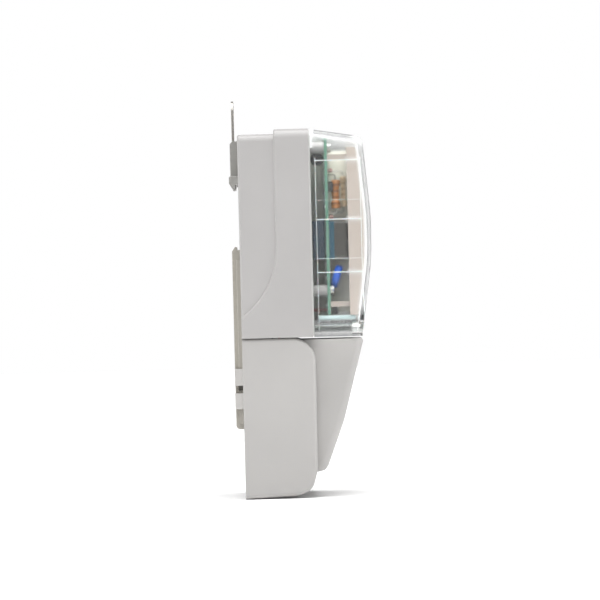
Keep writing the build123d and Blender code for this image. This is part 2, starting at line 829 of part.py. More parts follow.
def digit_drum(number):
    """A rim with its driven gear on the right and the carry teeth on the left."""
    x = drum_x(number)
    right = x + DRUM_RIM / 2
    left = x - DRUM_RIM / 2
    drum = rod_across(DRUM_RADIUS, left, right, DRUM_DEPTH, DRUM_HEIGHT)
    gap_at_pinion = PINION_ANGLE + 180 / DRUM_TEETH
    drum += gear(DRUM_TEETH, gap_at_pinion, right, right + SIDE_GEAR, DRUM_DEPTH, DRUM_HEIGHT)
    if number < DRUMS:
        drum += rod_across(4.3, left - SIDE_GEAR, left, DRUM_DEPTH, DRUM_HEIGHT)
        for turn in (130, 140):
            depth, height = place_from(DRUM_DEPTH, DRUM_HEIGHT, 4.6, PINION_ANGLE + turn)
            drum += rod_across(0.35, left - SIDE_GEAR, left, depth, height)
    return drum - rod_across(SHAFT_RADIUS + RUNNING, -30, 30, DRUM_DEPTH, DRUM_HEIGHT)


def carry_pinion(number):
    """The pinion that carries from one drum to the next on its left."""
    x = drum_x(number) - DRUM_PITCH / 2
    wheel = gear(PINION_TEETH, PINION_ANGLE + 180, x - 1.1, x + 1.1, PINION_DEPTH, PINION_HEIGHT)
    return wheel - rod_across(PIVOT_RADIUS + RUNNING, x - 2, x + 2, PINION_DEPTH, PINION_HEIGHT)


def drum_shaft():
    return rod_across(SHAFT_RADIUS, FRAME_LEFT, PARTITION + FRAME_WALL, DRUM_DEPTH, DRUM_HEIGHT)


def pinion_shaft():
    right_end = drum_x(1) - 1.5
    return rod_across(PIVOT_RADIUS, FRAME_LEFT, right_end, PINION_DEPTH, PINION_HEIGHT)


def idler_gear():
    """A compound gear: its pinion drives the units drum, its wheel meets the rotor."""
    wheel = gear(IDLER_TEETH, ROTOR_ANGLE + 180 / IDLER_TEETH, 26, 28, PINION_DEPTH, PINION_HEIGHT)
    wheel += gear(PINION_TEETH, PINION_ANGLE + 180, 19.95, 21.6, PINION_DEPTH, PINION_HEIGHT)
    return wheel + rod_across(PIVOT_RADIUS, 21.6, 43.6, PINION_DEPTH, PINION_HEIGHT)


def motor_rotor():
    magnet = rod_across(3.0, 33, 40, ROTOR_DEPTH, ROTOR_HEIGHT)
    pinion = gear(PINION_TEETH, ROTOR_ANGLE + 180, 25.8, 28.2, ROTOR_DEPTH, ROTOR_HEIGHT)
    pivot = rod_across(PIVOT_RADIUS, 23.4, 43.6, ROTOR_DEPTH, ROTOR_HEIGHT)
    return magnet + pinion + pivot


def motor_stator():
    """Two stacked poles around the rotor, joined by the leg that the coil sits on."""
    plate = block(STATOR_LEFT, STATOR_RIGHT, 49.8, 64.6, 131.4, 147.8)
    plate -= rod_across(3.5, 30, 42, ROTOR_DEPTH, ROTOR_HEIGHT)
    plate -= block(30, 42, 58.4, 61.4, 134, 145.4)
    plate -= block(30, 42, 49, 51, 138.0, 139.4)
    plate -= rod_across(PIVOT_RADIUS + 1, 30, 42, PINION_DEPTH, PINION_HEIGHT)
    return plate


def motor_coil():
    coil = block(32.4, 40.2, 58.6, 65.6, 134.2, 145.2)
    coil = fillet(coil.edges().filter_by(Axis.Z), 1.2)
    return coil - block(STATOR_LEFT, STATOR_RIGHT, 61.4, 64.6, 134, 145.4)


def motor_leads():
    return together(rod_forwards(0.35, BOARD_FRONT, 58.6, x, 142.9) for x in (33.4, 39.4))


def register_frame():
    """An open tray: four walls and a partition that carries the shafts."""
    low = FRAME_LOW + FRAME_WALL
    high = FRAME_HIGH - FRAME_WALL
    back = FRAME_BACK - 1
    front = FRAME_FRONT + 1
    frame = block(FRAME_LEFT, FRAME_RIGHT, FRAME_BACK, FRAME_FRONT, FRAME_LOW, FRAME_HIGH)
    frame -= block(FRAME_LEFT + FRAME_WALL, PARTITION, back, front, low, high)
    frame -= block(PARTITION + FRAME_WALL, FRAME_RIGHT - FRAME_WALL, back, front, low, high)
    # A slot in the top for the idler's wheel
    frame -= block(25.4, 28.6, back, 60, 147, FRAME_HIGH + 1)
    frame -= rod_across(SHAFT_RADIUS, -30, 30, DRUM_DEPTH, DRUM_HEIGHT)
    frame -= rod_across(PIVOT_RADIUS, -30, 0, PINION_DEPTH, PINION_HEIGHT)
    frame -= rod_across(PIVOT_RADIUS + RUNNING, 20, 50, PINION_DEPTH, PINION_HEIGHT)
    frame -= rod_across(PIVOT_RADIUS + RUNNING, 20, 50, ROTOR_DEPTH, ROTOR_HEIGHT)
    return frame


def register_base():
    """The snap-on plate between the board and the frame, open behind the gears."""
    plate = block(-48, 46, BOARD_FRONT, FRAME_BACK, 129.4, 149.6)
    plate -= block(FRAME_LEFT + FRAME_WALL, FRAME_RIGHT - FRAME_WALL, 48, 52, 131.2, 147.8)
    return plate


def register_cheek():
    """The dark side box of the register, which holds its zero-setting lock."""
    box = block(-47, FRAME_LEFT, FRAME_BACK, 58.2, 130.2, 148.8)
    return fillet(box.edges().filter_by(Axis.X), 0.8)


# ---- Save every piece -------------------------------------------------------------------

PIECES = [
    base_housing,
    hanger,
    din_latch,
    latch_spring,
    clear_cover,
    cover_gasket,
    cover_screws,
    terminal_cover,
    terminal_cover_screw,
    terminal_block,
    brass_terminals,
    terminal_screws,
    block_screws,
    shunt,
    neutral_link,
    shunt_leads,
    neutral_lead,
    pulse_terminal,
    pulse_terminal_screws,
    pulse_leads,
    pcb,
    pcb_screws,
    dropper_resistor,
    bleed_resistor,
    film_resistors,
    rectifier,
    film_capacitor,
    reservoir_capacitor,
    varistor,
    optocoupler,
    metering_chips,
    crystal,
    led_holder,
    pulse_led,
    front_panel,
    drum_shaft,
    pinion_shaft,
    idler_gear,
    motor_rotor,
    motor_stator,
    motor_coil,
    motor_leads,
    register_frame,
    register_base,
    register_cheek,
]

for piece in PIECES:
    write(piece.__name__, piece())

for number in range(1, DRUMS + 1):
    write(f"digit_drum_{number}", digit_drum(number))

for number in range(1, DRUMS):
    write(f"carry_pinion_{number}", carry_pinion(number))
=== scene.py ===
from math import cos, pi, radians, sin

import bpy
from mathutils import Matrix, Vector


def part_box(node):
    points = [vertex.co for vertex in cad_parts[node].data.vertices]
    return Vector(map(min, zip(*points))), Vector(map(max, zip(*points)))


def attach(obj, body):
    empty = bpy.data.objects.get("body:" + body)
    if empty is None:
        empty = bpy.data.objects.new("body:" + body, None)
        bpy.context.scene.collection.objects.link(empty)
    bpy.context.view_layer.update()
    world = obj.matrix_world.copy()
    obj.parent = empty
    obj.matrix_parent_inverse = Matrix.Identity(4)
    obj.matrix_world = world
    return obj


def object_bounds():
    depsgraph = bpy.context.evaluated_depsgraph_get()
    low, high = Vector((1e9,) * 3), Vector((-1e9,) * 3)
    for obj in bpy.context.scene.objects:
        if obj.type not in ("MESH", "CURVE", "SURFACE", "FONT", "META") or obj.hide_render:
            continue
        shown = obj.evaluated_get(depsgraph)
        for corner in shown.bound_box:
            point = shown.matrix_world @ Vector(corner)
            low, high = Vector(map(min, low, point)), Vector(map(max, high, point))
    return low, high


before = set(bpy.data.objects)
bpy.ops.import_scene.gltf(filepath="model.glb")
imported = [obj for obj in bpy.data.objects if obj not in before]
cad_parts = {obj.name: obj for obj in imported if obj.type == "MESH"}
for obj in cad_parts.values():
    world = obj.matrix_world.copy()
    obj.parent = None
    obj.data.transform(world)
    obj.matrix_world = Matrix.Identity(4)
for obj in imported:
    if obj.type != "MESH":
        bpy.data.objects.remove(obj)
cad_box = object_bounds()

bpy.ops.object.select_all(action="DESELECT")

# ---- Housing tub ------------------------------------------------------------------------
# The tub is injection moulded in light grey ABS. The mould is spark eroded, so the skin
# is an even matt grain that softens every highlight. Its edges are painted paler, partly as
# handling wear and partly as a painted highlight.

MM = 0.001


def linear(colour):
    """An sRGB hex colour as the linear RGBA that the shader sockets want."""
    channels = [int(colour[i:i + 2], 16) / 255 for i in (1, 3, 5)]
    return [c / 12.92 if c <= 0.04045 else ((c + 0.055) / 1.055) ** 2.4 for c in channels] + [1.0]


def add(tree, kind, settings=None, inputs=None):
    """Add a shader node, with its settings, its values and the links into it."""
    made = tree.nodes.new("ShaderNode" + kind)
    for name, value in (settings or {}).items():
        setattr(made, name, value)
    for name, value in (inputs or {}).items():
        if isinstance(value, bpy.types.NodeSocket):
            tree.links.new(value, made.inputs[name])
        else:
            made.inputs[name].default_value = value
    return made


def start_material(name, roughness, metallic=0.0, ior=None):
    """A new material with its shader's fixed values, and its tree and shader to build on."""
    material = bpy.data.materials.new(name)
    material.use_nodes = True
    shader = material.node_tree.nodes["Principled BSDF"]
    shader.inputs["Roughness"].default_value = roughness
    shader.inputs["Metallic"].default_value = metallic
    if ior:
        shader.inputs["IOR"].default_value = ior
    return material, material.node_tree, shader


def grain(tree, size_mm, detail=3.0, stretch=None):
    """A noise whose lumps are size_mm across in the object's own space."""
    place = add(tree, "TexCoord").outputs["Object"]
    if stretch:
        place = add(tree, "Mapping", None, {"Vector": place, "Scale": stretch}).outputs["Vector"]
    settings = {"Vector": place, "Scale": 1 / (size_mm * MM), "Detail": detail}
    return add(tree, "TexNoise", None, settings).outputs["Fac"]


def spread(tree, value, low, high):
    """Stretch a noise's middle range to run from low to high."""
    inputs = {"Value": value, "From Min": 0.3, "From Max": 0.7, "To Min": low, "To Max": high}
    return add(tree, "MapRange", None, inputs).outputs["Result"]


def blend_colours(tree, factor, first, second):
    """The first colour where the factor is 0, and the second where it is 1."""
    mix = add(tree, "Mix", {"data_type": "RGBA"}, {0: factor, 6: first, 7: second})
    return mix.outputs[2]


def worn_edges(tree, radius_mm, sharpness):
    """Where the surface turns within radius_mm of an edge, and the rounded normal there."""
    rounded = add(tree, "Bevel", {"samples": 4}, {"Radius": radius_mm * MM}).outputs["Normal"]
    facing = add(tree, "NewGeometry").outputs["Normal"]
    match = add(tree, "VectorMath", {"operation": "DOT_PRODUCT"}, {0: rounded, 1: facing})
    inputs = {"Value": match.outputs["Value"], "From Min": 1.0, "From Max": 1.0 - sharpness}
    edge = add(tree, "MapRange", None, inputs)
    return edge.outputs["Result"], rounded


def moulded_plastic(name, colour, shade, edge_wear_and_highlight_colour, grain_mm=0.9, roughness=0.45, rear_shade=None):
    """A thermoplastic moulding: slow tone drift, spark-eroded grain and paler edges, partly rubbed
    wear and partly a painted highlight.

    What stands out behind the flat of the back can be given painted light and shade: the rear
    colour is painted shade, and the latch's claws get a paler painted light."""
    material, tree, shader = start_material(name, roughness, ior=1.53)
    drift = spread(tree, grain(tree, 45.0), 0.0, 1.0)
    body = blend_colours(tree, drift, linear(colour), linear(shade))
    if rear_shade:
        place = add(tree, "SeparateXYZ", None, {0: add(tree, "TexCoord").outputs["Object"]})
        behind = add(tree, "Math", {"operation": "GREATER_THAN"},
                     {0: place.outputs["Y"], 1: 0.4 * MM})
        # From the latch's claws, painted pale as light, up to the hanger's guide, painted dark as
        # shade
        upper = add(tree, "MapRange", None, {"Value": place.outputs["Z"],
                                             "From Min": -60 * MM, "From Max": 30 * MM})
        rear_light_and_shade = blend_colours(tree, upper.outputs["Result"], linear("#CBC9C6"), linear(rear_shade))
        body = blend_colours(tree, behind.outputs[0], body, rear_light_and_shade)
    edge, rounded = worn_edges(tree, 0.5, 0.25)
    # Paler edges: partly handling wear, partly a painted highlight
    rubbed_and_highlit = add(tree, "Math", {"operation": "MULTIPLY"}, {0: edge, 1: 0.8}).outputs[0]
    skin = blend_colours(tree, rubbed_and_highlit, body, linear(edge_wear_and_highlight_colour))
    tree.links.new(skin, shader.inputs["Base Color"])
    gloss = spread(tree, grain(tree, 7.0), roughness - 0.05, roughness + 0.07)
    tree.links.new(gloss, shader.inputs["Roughness"])
    relief = {"Height": grain(tree, grain_mm, 2.0), "Distance": 0.012 * MM, "Strength": 0.6,
              "Normal": rounded}
    tree.links.new(add(tree, "Bump", None, relief).outputs["Normal"], shader.inputs["Normal"])
    return material


def finish(material, *names):
    """Give a material to CAD nodes."""
    for name in names:
        for part_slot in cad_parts[name].material_slots:
            part_slot.material = material


# The tub's rear colour is painted shade on the hanger's guide and hooks, and its pale edge colour
# is partly a painted highlight
finish(
    moulded_plastic("abs_moulded_light_grey", "#ABA9A8", "#A6A4A3", "#EEEDEC", rear_shade="#8F8E8A"),
    "base_housing",
)

# ---- Terminal cover ---------------------------------------------------------------------
# A second grey ABS moulding, one shade lighter, from a mould with a finer grain. It
# hooks under the tub and one captive sealing screw through its nose holds it.

finish(
    moulded_plastic("abs_moulded_pale_grey", "#AEACAA", "#A9A7A5", "#DEDDDC", 0.7),
    "terminal_cover",
)

# ---- Clear cover ------------------------------------------------------------------------
# A tall polycarbonate hood, 2.5 mm thick. Its face is polished and its sides are lightly
# frosted, so what stands behind them turns soft. At the front and top, where the wall is seen
# edge on, its rim is painted milky white as a highlight.


def clear_polycarbonate():
    """Clear in the middle of each wall, painted milky white at the front and top rim as a
    highlight, and frosted on both sides.
    """
    material, tree, shader = start_material("polycarbonate_frosted_inside", 0.2, ior=1.45)
    shader.inputs["Base Color"].default_value = linear("#FDFEFE")
    # Round the front and the top, where the wall is seen edge on, the rim is painted milky as a
    # highlight
    edge, _ = worn_edges(tree, 3.4, 0.05)
    place = add(tree, "SeparateXYZ", None, {0: add(tree, "TexCoord").outputs["Object"]})
    front = add(tree, "Math", {"operation": "LESS_THAN"}, {0: place.outputs["Y"], 1: -58 * MM})
    top = add(tree, "Math", {"operation": "GREATER_THAN"}, {0: place.outputs["Z"], 1: 36 * MM})
    rim = add(tree, "Math", {"operation": "MAXIMUM"}, {0: front.outputs[0], 1: top.outputs[0]})
    upper = add(tree, "MapRange", None, {"Value": place.outputs["Z"], "From Min": -56 * MM,
                                         "From Max": -50 * MM})
    rim = add(tree, "Math", {"operation": "MULTIPLY"}, {0: rim.outputs[0], 1: upper.outputs[0]})
    painted_rim_highlight = add(tree, "Math", {"operation": "MULTIPLY"}, {0: edge, 1: rim.outputs[0]})
    clear = {"Value": painted_rim_highlight.outputs[0], "To Min": 0.99, "To Max": 0.1}
    clear = add(tree, "MapRange", None, clear).outputs["Result"]
    tree.links.new(clear, shader.inputs["Transmission Weight"])
    # Where a wall turns to face sideways, its roughness rises from polished to frosted
    facing = add(tree, "SeparateXYZ", None, {0: add(tree, "NewGeometry").outputs["Normal"]})
    turned = add(tree, "Math", {"operation": "ABSOLUTE"}, {0: facing.outputs["X"]}).outputs[0]
    frost = add(tree, "MapRange", None, {"Value": turned, "From Min": 0.4, "From Max": 0.8,
                                         "To Min": 0.03, "To Max": 0.15})
    haze = spread(tree, grain(tree, 14.0, 4.0), 0.0, 0.04)
    haze = add(tree, "Math", {"operation": "ADD"}, {0: frost.outputs["Result"], 1: haze})
    tree.links.new(haze.outputs[0], shader.inputs["Roughness"])
    ripple = {"Height": grain(tree, 22.0, 1.0), "Distance": 0.01 * MM, "Strength": 0.15}
    tree.links.new(add(tree, "Bump", None, ripple).outputs["Normal"], shader.inputs["Normal"])
    # Lamps shine through the wall, as they do through a thin clear shell
    through = add(tree, "BsdfTransparent", None, {"Color": linear("#FCFCFB")})
    lamp = add(tree, "LightPath").outputs["Is Shadow Ray"]
    surface = add(tree, "MixShader", None, {0: lamp, 1: shader.outputs[0], 2: through.outputs[0]})
    tree.links.new(surface.outputs[0], tree.nodes["Material Output"].inputs["Surface"])
    return material


finish(clear_polycarbonate(), "clear_cover")


def settle(piece, name, material, body):
    """Name a finished piece, put its place in its mesh and let it ride on a body."""
    bpy.context.view_layer.update()
    piece.name = name
    piece.data.name = name
    piece.data.transform(piece.matrix_world)
    piece.matrix_world = Matrix.Identity(4)
    piece.data.materials.clear()
    piece.data.materials.append(material)
    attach(piece, body)
    piece.select_set(False)
    return piece


def box_piece(low, high, bevel=0.0, segments=2):
    """A box between two corners in millimetres, with its edges rounded by hand."""
    size = [(b - a) * MM for a, b in zip(low, high)]
    middle_point = [(a + b) / 2 * MM for a, b in zip(low, high)]
    bpy.ops.mesh.primitive_cube_add(size=1, location=middle_point)
    piece = bpy.context.object
    piece.scale = size
    bpy.ops.object.transform_apply(location=False, rotation=False, scale=True)
    if bevel:
        bpy.ops.object.mode_set(mode="EDIT")
        bpy.ops.mesh.select_all(action="SELECT")
        bpy.ops.mesh.bevel(offset=bevel * MM, segments=segments)
        bpy.ops.object.mode_set(mode="OBJECT")
        bpy.ops.object.shade_smooth_by_angle(angle=radians(35))
    return piece


def join(pieces):
    """Join pieces, each already in place, into the first."""
    bpy.ops.object.select_all(action="DESELECT")
    for piece in pieces:
        piece.select_set(True)
    bpy.context.view_layer.objects.active = pieces[0]
    bpy.ops.object.join()
    return bpy.context.object


def frosted_line():
    """Fine white threads of frosted plastic inside the side walls, painted in as the highlights on
    the wall's moulded steps.
    """
    material, tree, shader = start_material("polycarbonate_highlight_thread", 0.35, ior=1.58)
    tone = blend_colours(tree, grain(tree, 4.0), linear("#E6ECEC"), linear("#D8DFDF"))
    tree.links.new(tone, shader.inputs["Base Color"])
    shader.inputs["Subsurface Weight"].default_value = 0.3
    shader.inputs["Subsurface Scale"].default_value = 1.0 * MM
    return material


RAIL_CENTRE = 153.4  # height of the rail's centre line above the foot, in millimetres
THREAD_X = (57.15, 57.45)  # just inside the side walls
THREAD_ROUND = 0.08
THREAD_HEIGHTS = ((182.5, 0.55), (150.5, 0.6), (121.8, 0.55), (129.2, 0.25), (161.0, 0.2))
THREAD_DEPTHS = ((42.0, 0.3), (66.2, 0.35))

# White threads painted in as highlights along the cover wall's steps
highlight_threads = []
for side in (-1, 1):
    low_x, high_x = sorted(side * x for x in THREAD_X)
    for height, thick in THREAD_HEIGHTS:
        z = height - RAIL_CENTRE
        highlight_threads.append(box_piece((low_x, -66.4, z - thick / 2), (high_x, -41.6, z + thick / 2),
                                 THREAD_ROUND))
    for depth, thick in THREAD_DEPTHS:
        highlight_threads.append(box_piece((low_x, -depth - thick / 2, 90.6 - RAIL_CENTRE),
                                 (high_x, -depth + thick / 2, 184.0 - RAIL_CENTRE),
                                 THREAD_ROUND))
settle(join(highlight_threads), "cover_highlight_threads", frosted_line(), "housing")

# ---- Cover seal -------------------------------------------------------------------------
# A frame moulded in translucent pale silicone, squeezed between tub and hood. It is matt
# and picks up a little dust.


def rubber(name, colour, dust):
    """A soft matt skin with dust caught in its grain."""
    material, tree, shader = start_material(name, 0.65, ior=1.45)
    dusty = spread(tree, grain(tree, 3.0, 5.0), 0.0, 0.6)
    skin = blend_colours(tree, dusty, linear(colour), linear(dust))
    tree.links.new(skin, shader.inputs["Base Color"])
    relief = {"Height": grain(tree, 0.5), "Distance": 0.02 * MM, "Strength": 0.5}
    tree.links.new(add(tree, "Bump", None, relief).outputs["Normal"], shader.inputs["Normal"])
    return material


finish(rubber("silicone_moulded_pale", "#C9CBC8", "#B4B5B1"), "cover_gasket")

# ---- Screws and shafts ------------------------------------------------------------------
# Turned steel with clear zinc plating: fine lathe lines, a cool satin shine, and duller
# patches where a driver or a thumb has been.


def plated_steel(name, colour, dull, turned_mm=0.25, roughness=0.3):
    """Plated metal with tool lines turned_mm apart and dull handled patches."""
    material, tree, shader = start_material(name, roughness, metallic=1.0)
    patches = spread(tree, grain(tree, 2.5, 4.0), 0.0, 1.0)
    skin = blend_colours(tree, patches, linear(colour), linear(dull))
    tree.links.new(skin, shader.inputs["Base Color"])
    gloss = spread(tree, grain(tree, 1.5), roughness - 0.07, roughness + 0.12)
    tree.links.new(gloss, shader.inputs["Roughness"])
    _, rounded = worn_edges(tree, 0.2, 0.3)
    lines = grain(tree, turned_mm, 1.0, (1.0, 0.15, 1.0))
    relief = {"Height": lines, "Distance": 0.01 * MM, "Strength": 0.5, "Normal": rounded}
    tree.links.new(add(tree, "Bump", None, relief).outputs["Normal"], shader.inputs["Normal"])
    return material


zinc = plated_steel("steel_zinc_plated", "#B9B9B6", "#93938F")
finish(
    zinc, "terminal_cover_screw", "terminal_screws", "block_screws", "pcb_screws",
    "pulse_terminal_screws", "drum_shaft", "pinion_shaft",
)



def blackened_screw():
    """Black oxide on the shank, and a bright head painted in as a highlight."""
    material, tree, shader = start_material("steel_black_oxide", 0.38, metallic=1.0)
    place = add(tree, "SeparateXYZ", None, {0: add(tree, "TexCoord").outputs["Object"]})
    painted_head_highlight = add(tree, "MapRange", None, {"Value": place.outputs["Y"], "From Min": -59.0 * MM,
                                        "From Max": -60.5 * MM})
    oxide = blend_colours(tree, grain(tree, 1.5, 4.0), linear("#2C312F"), linear("#454B48"))
    # The head is painted bright as a highlight
    skin = blend_colours(tree, painted_head_highlight.outputs["Result"], oxide, linear("#C4C6C4"))
    tree.links.new(skin, shader.inputs["Base Color"])
    relief = {"Height": grain(tree, 0.3, 1.0, (1.0, 0.15, 1.0)), "Distance": 0.01 * MM,
              "Strength": 0.5}
    tree.links.new(add(tree, "Bump", None, relief).outputs["Normal"], shader.inputs["Normal"])
    return material


finish(blackened_screw(), "cover_screws")

# ---- Wall hanger ------------------------------------------------------------------------
# A strap blanked from 1.2 mm cold-rolled steel and zinc plated. Rolling leaves long
# lines up the strap, and the sheared edges are rougher and warmer in tone.


def rolled_strap():
    material, tree, shader = start_material("steel_sheet_zinc_plated", 0.36, metallic=1.0)
    rolled = grain(tree, 0.6, 3.0, (1.0, 1.0, 0.06))
    skin = blend_colours(tree, spread(tree, rolled, 0.0, 1.0), linear("#B4B2AD"), linear("#989590"))
    edge, rounded = worn_edges(tree, 0.25, 0.3)
    warm = blend_colours(tree, edge, skin, linear("#B9A48C"))
    tree.links.new(warm, shader.inputs["Base Color"])
    tree.links.new(spread(tree, rolled, 0.28, 0.48), shader.inputs["Roughness"])
    relief = {"Height": rolled, "Distance": 0.015 * MM, "Strength": 0.5, "Normal": rounded}
    tree.links.new(add(tree, "Bump", None, relief).outputs["Normal"], shader.inputs["Normal"])
    return material


finish(rolled_strap(), "hanger")

# ---- Rail latch and its spring ----------------------------------------------------------
# The slider is glass-filled nylon in a warmer, greyer beige than the tub. The folded
# spring behind it is blued spring steel strip. Two dark blocks between the claws that guide
# the slider are painted shade, for the shadowed gap there.

finish(
    moulded_plastic("nylon_moulded_beige_grey", "#B1ADA5", "#A8A49B", "#CFCCC6", 1.1, 0.55),
    "din_latch",
)
finish(plated_steel("spring_steel_strip", "#7D8087", "#5E6168", 0.4, 0.34), "latch_spring")

NOTCH_SHADE_X = (15.8, 17.4)  # beside the slider, which is 15.6 wide each way
NOTCH_SHADE_ROUND = 0.25

# Dark blocks painted in as the shade in the gap between the claws
notch_shades = []
for side in (-1, 1):
    low_x, high_x = sorted(side * x for x in NOTCH_SHADE_X)
    notch_shades.append(box_piece((low_x, 0.05, 58.4 - RAIL_CENTRE),
                           (high_x, 3.1, 61.4 - RAIL_CENTRE), NOTCH_SHADE_ROUND))
notch_shade_dark = moulded_plastic("painted_shade_dark_block", "#4B4943", "#42403B", "#6B6962", 0.6, 0.7)
settle(join(notch_shades), "guide_notch_shade", notch_shade_dark, "housing")

# ---- Circuit board ----------------------------------------------------------------------
# FR4 glass-epoxy, 1.6 mm, green solder resist on both faces. The sawn edge shows the
# pale yellow-green laminate, which glows where light comes through the cover.


def circuit_board():
    """Green resist with raised tracks on the faces, and bare laminate at the edges."""
    material, tree, shader = start_material("fr4_green_resist", 0.32, ior=1.55)
    facing = add(tree, "SeparateXYZ", None, {0: add(tree, "NewGeometry").outputs["Normal"]})
    flat = add(tree, "Math", {"operation": "ABSOLUTE"}, {0: facing.outputs["Y"]}).outputs[0]
    face = add(tree, "Math", {"operation": "GREATER_THAN"}, {0: flat, 1: 0.7}).outputs[0]
    # Copper tracks stand up under the resist and show as paler green cells
    place = add(tree, "TexCoord").outputs["Object"]
    cells = add(tree, "TexVoronoi", {"feature": "DISTANCE_TO_EDGE", "distance": "CHEBYCHEV"},
                {"Vector": place, "Scale": 1 / (6.0 * MM), "Randomness": 0.75})
    track = add(tree, "Math", {"operation": "LESS_THAN"}, {0: cells.outputs["Distance"], 1: 0.09})
    resist = blend_colours(tree, track.outputs[0], linear("#2B7650"), linear("#4C9069"))
    weave = spread(tree, grain(tree, 1.2, 4.0), 0.0, 1.0)
    edge = blend_colours(tree, weave, linear("#6C9A86"), linear("#5E8D79"))
    skin = blend_colours(tree, face, edge, resist)
    tree.links.new(skin, shader.inputs["Base Color"])
    relief = {"Height": track.outputs[0], "Distance": 0.05 * MM, "Strength": 0.5}
    tree.links.new(add(tree, "Bump", None, relief).outputs["Normal"], shader.inputs["Normal"])
    shader.inputs["Subsurface Weight"].default_value = 0.15
    shader.inputs["Subsurface Scale"].default_value = 1.0 * MM
    return material


finish(circuit_board(), "pcb")


def solder():
    """Tin that has flowed and set, bright with faint clouds."""
    material, tree, shader = start_material("solder_tin_wetted", 0.28, metallic=1.0)
    tone = blend_colours(tree, grain(tree, 0.8), linear("#C8C9CA"), linear("#9C9EA0"))
    tree.links.new(tone, shader.inputs["Base Color"])
    return material


BOARD_BACK = 47.0
JOINT_ROWS = (-50.6, -36.0, -20.0, -6.0, 8.0, 22.0, 36.0, 50.0)
JOINTS_IN_ROW = 11
JOINT_PITCH = 7.6
JOINT_LENGTH = 1.5


def solder_cone(x, z, radius, length):
    """A fillet of solder that rises round a trimmed pin on the back of the board."""
    bpy.ops.mesh.primitive_cone_add(vertices=14, radius1=radius * MM, radius2=radius * 0.3 * MM,
                                    depth=length * MM,
                                    location=(x * MM, (length / 2 - BOARD_BACK) * MM, z * MM),
                                    rotation=(-pi / 2, 0, 0))
    bpy.ops.object.mode_set(mode="EDIT")
    bpy.ops.mesh.select_all(action="SELECT")
    bpy.ops.mesh.bevel(offset=0.06 * MM, segments=2)
    bpy.ops.object.mode_set(mode="OBJECT")
    bpy.ops.object.shade_smooth_by_angle(angle=radians(50))
    return bpy.context.object


joints = []
for row, x in enumerate(JOINT_ROWS):
    for step in range(JOINTS_IN_ROW):
        z = 104.0 + step * JOINT_PITCH + (row % 3) * 1.7 - RAIL_CENTRE
        height = z + RAIL_CENTRE
        under_box = -52 < x < -22 and 127.0 < height < 151.5
        under_can = -46 < x < -28 and 178.0 < height < 188.5
        on_post = abs(abs(x) - 48) < 5 and (abs(height - 112) < 5 or abs(height - 189.5) < 6)
        if not (under_box or under_can or on_post):
            joints.append(solder_cone(x, z, 0.9 - 0.2 * (step % 2), JOINT_LENGTH))
settle(join(joints), "solder_joints", solder(), "housing")

# A strip of pressboard stands behind the board and keeps the mains side apart
shield = box_piece((-23.5, -46.4, 93.0 - RAIL_CENTRE), (-22.7, -38.9, 193.5 - RAIL_CENTRE), 0.15)
shield_grey = moulded_plastic(
    "pressboard_insulation_grey", "#B9BCB2", "#ACAFA5", "#CFD1CA", 0.6, 0.7)
settle(shield, "insulating_web", shield_grey, "housing")

# ---- Header strip and ledge -------------------------------------------------------------
# A dark nylon pin header lies across the foot of the hood, under a pale acrylic ledge
# just below the board. Its tinned pins show at both ends.

header = box_piece((-46.5, -62.5, 89.6 - RAIL_CENTRE), (46.5, -41.0, 94.4 - RAIL_CENTRE), 0.3)
header_nylon = moulded_plastic(
    "nylon_moulded_dark_green", "#222B27", "#1C2521", "#4A544F", 0.5, 0.5)
settle(header, "pin_header", header_nylon, "housing")

PIN_X = (46.5, 47.3)
PIN_PITCH = 2.0
PIN_HALF = 0.3
PIN_HEIGHT = 91.6
PINS_AT_END = 9

pins = []
for step in range(PINS_AT_END):
    for side in (-1, 1):
        low_x, high_x = sorted(side * x for x in PIN_X)
        depth = 43.5 + step * PIN_PITCH
        z = PIN_HEIGHT - RAIL_CENTRE
        pins.append(box_piece((low_x, -depth - PIN_HALF, z - PIN_HALF),
                              (high_x, -depth + PIN_HALF, z + PIN_HALF), 0.08))
settle(join(pins), "header_pins", solder(), "housing")

ledge = box_piece((-53.0, -62.0, 96.1 - RAIL_CENTRE), (53.0, -41.6, 98.4 - RAIL_CENTRE), 0.5)
ledge_acrylic = moulded_plastic(
    "acrylic_moulded_pale_aqua", "#D4E8E8", "#C6DEDF", "#F2FAFA", 2.0, 0.3)
settle(ledge, "light_ledge", ledge_acrylic, "housing")

# ---- Lacquered resistors ----------------------------------------------------------------
# Ceramic rods dipped in lacquer and ringed with colour bands.


